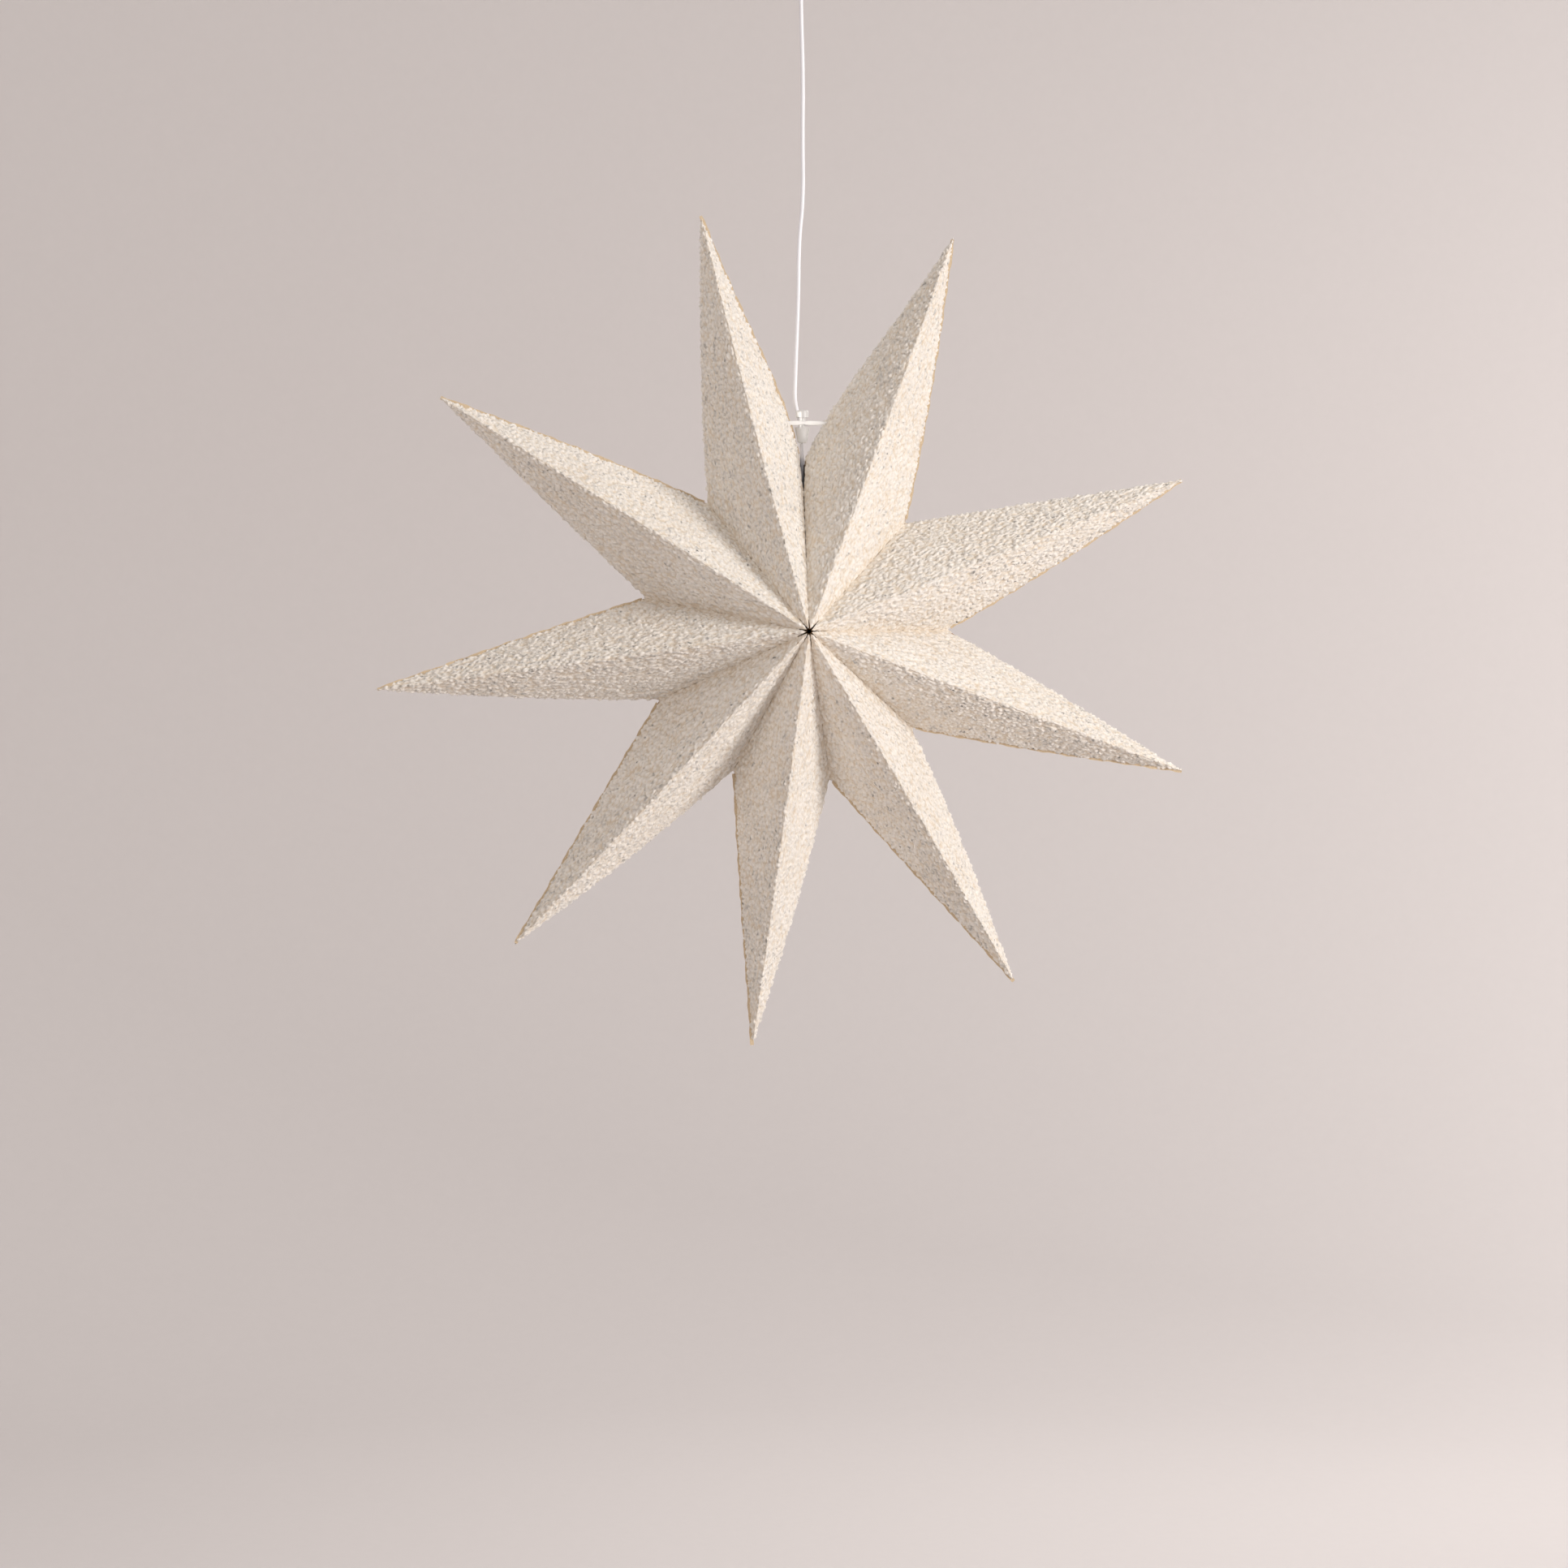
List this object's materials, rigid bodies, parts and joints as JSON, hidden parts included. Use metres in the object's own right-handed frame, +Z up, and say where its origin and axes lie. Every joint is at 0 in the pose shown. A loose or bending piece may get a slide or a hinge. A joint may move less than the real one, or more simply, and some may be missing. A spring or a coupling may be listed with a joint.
{
  "type": "hanging star lantern",
  "caption": "Hanging star lantern of folded card points covered in looped cloth, on a lead with a screw lampholder, bulb and ceiling cup.",
  "frame": {"origin": "centre of the ceiling plate's upper face, where it meets the ceiling", "axes": "+Z up into the ceiling, -Y the star's front, +X to the right of someone facing the front"},
  "size_m": [0.579, 0.1746, 0.8184],
  "materials": {
    "boucle_card": "cream looped wool cloth laminated to card",
    "white_tie": "flat white elastic",
    "white_lead": "smooth white sheath",
    "clear_plastic": "clear moulded",
    "white_nylon": "moulded",
    "steel": "crimped",
    "white_plastic": "moulded satin",
    "zinc_steel": "zinc plated",
    "brass": "plain",
    "holder_plastic": "moulded",
    "porcelain": "glazed",
    "solder": "dull",
    "black_glass": "glassy",
    "nickel": "nickel plated",
    "bulb_glass": "clear",
    "stem_glass": "clear",
    "filament": "phosphor coated"
  },
  "bodies": {
    "ceiling_fitting": {"ceiling_plate": "zinc_steel", "ceiling_cup": "white_plastic", "cup_screws": "zinc_steel", "cord_gland": "white_plastic", "gland_nut": "white_plastic", "terminal_block": "white_nylon", "terminal_screws": "brass"},
    "swivel": {"swivel_ball": "white_nylon"},
    "pendant": {"cord_stop": "steel", "power_cord": "white_lead", "cord_clip": "clear_plastic", "holder_cap": "holder_plastic", "grip_screw": "white_nylon", "holder_shell": "holder_plastic", "shade_ring": "holder_plastic", "holder_insert": "porcelain", "holder_terminals": "brass", "side_contact": "brass", "centre_contact": "brass"},
    "star": {"star_point_1": "boucle_card", "star_point_2": "boucle_card", "star_point_3": "boucle_card", "star_point_4": "boucle_card", "star_point_5": "boucle_card", "star_point_6": "boucle_card", "star_point_7": "boucle_card", "star_point_8": "boucle_card", "star_point_9": "boucle_card", "closing_tie": "white_tie"},
    "bulb": {"bulb_foot": "solder", "bulb_insulator": "black_glass", "bulb_cap": "nickel", "bulb_glass": "bulb_glass", "bulb_stem": "stem_glass", "bulb_filaments": "filament"}
  },
  "joints": [
    {"name": "pendant_swing", "type": "hinge", "parent": "ceiling_fitting", "child": "swivel", "pos_m": [0, 0, -0.044], "axis": [0, 1, 0], "range_deg": [-10, 10]},
    {"name": "pendant_twist", "type": "hinge", "parent": "swivel", "child": "pendant", "pos_m": [0, 0, -0.044], "axis": [0, 0, 1], "range_deg": [-180, 180], "stiffness_Nm_per_rad": 0.004},
    {"name": "star_tilt", "type": "hinge", "parent": "pendant", "child": "star", "pos_m": [0.00142, 0, -0.373], "axis": [1, 0, 0], "range_deg": [-6, 6]},
    {"name": "bulb_turn", "type": "hinge", "parent": "pendant", "child": "bulb", "pos_m": [0.00142, 0, -0.46], "axis": [0, 0, 1], "range_deg": [0, 720]}
  ]
}
